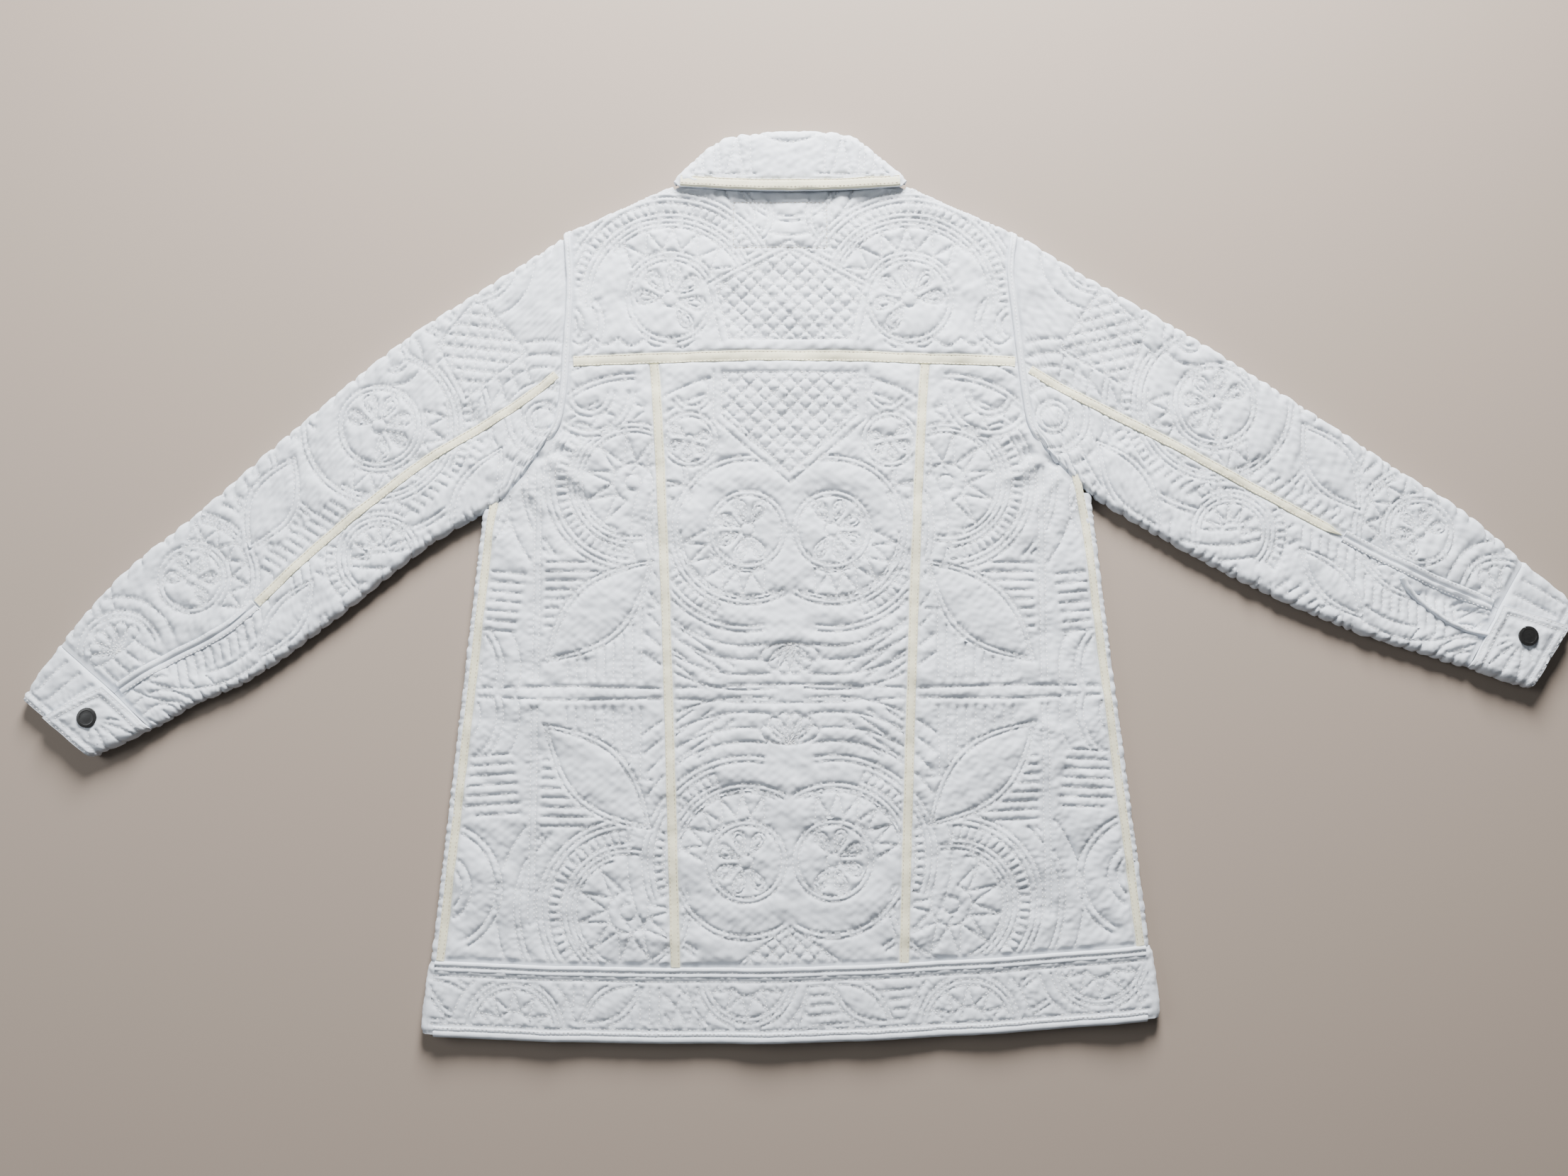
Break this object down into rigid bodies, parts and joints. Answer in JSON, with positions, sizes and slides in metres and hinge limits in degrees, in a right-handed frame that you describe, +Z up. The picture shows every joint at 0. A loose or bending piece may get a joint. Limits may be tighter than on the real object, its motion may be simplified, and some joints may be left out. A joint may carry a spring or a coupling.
{
  "type": "quilted jacket",
  "caption": "Long white quilted cotton jacket lying face down and flat, sleeves spread, its back, folded collar, taped seams, banded hem and snapped cuffs showing.",
  "frame": {"origin": "on the surface that the jacket lies on, under the centre line of its body, level with the underarms", "axes": "+X to the viewer's right across the sleeves, +Y from the hem to the collar, +Z up off the surface"},
  "size_m": [1.343, 0.794, 0.0167],
  "materials": {
    "quilted_cotton": "matte white woven cotton, quilted with white thread over thin batting",
    "plain_cotton": "matte white woven cotton, edge stitched",
    "bias_tape": "matte ivory bias tape with a row of stitches along each edge",
    "snap": "glossy black domed cap"
  },
  "bodies": {
    "root": {"back_yoke": "quilted_cotton", "back_centre": "quilted_cotton", "back_side_left": "quilted_cotton", "back_side_right": "quilted_cotton", "front_left": "quilted_cotton", "front_right": "quilted_cotton", "sleeve_upper_left": "quilted_cotton", "sleeve_upper_right": "quilted_cotton", "sleeve_under_left": "quilted_cotton", "sleeve_under_right": "quilted_cotton", "sleeve_placket_left": "plain_cotton", "sleeve_placket_right": "plain_cotton", "cuff_left": "quilted_cotton", "cuff_right": "quilted_cotton", "cuff_snap_left": "snap", "cuff_snap_right": "snap", "collar_fall": "quilted_cotton", "collar_front": "quilted_cotton", "collar_stand": "plain_cotton", "collar_binding": "bias_tape", "hem_band": "quilted_cotton", "hem_welt": "plain_cotton", "hem_binding": "plain_cotton", "yoke_tape": "bias_tape", "back_tape_left": "bias_tape", "back_tape_right": "bias_tape", "side_tape_left": "bias_tape", "side_tape_right": "bias_tape", "elbow_tape_left": "bias_tape", "elbow_tape_right": "bias_tape", "armhole_welt_left": "bias_tape", "armhole_welt_right": "bias_tape"}
  },
  "joints": []
}
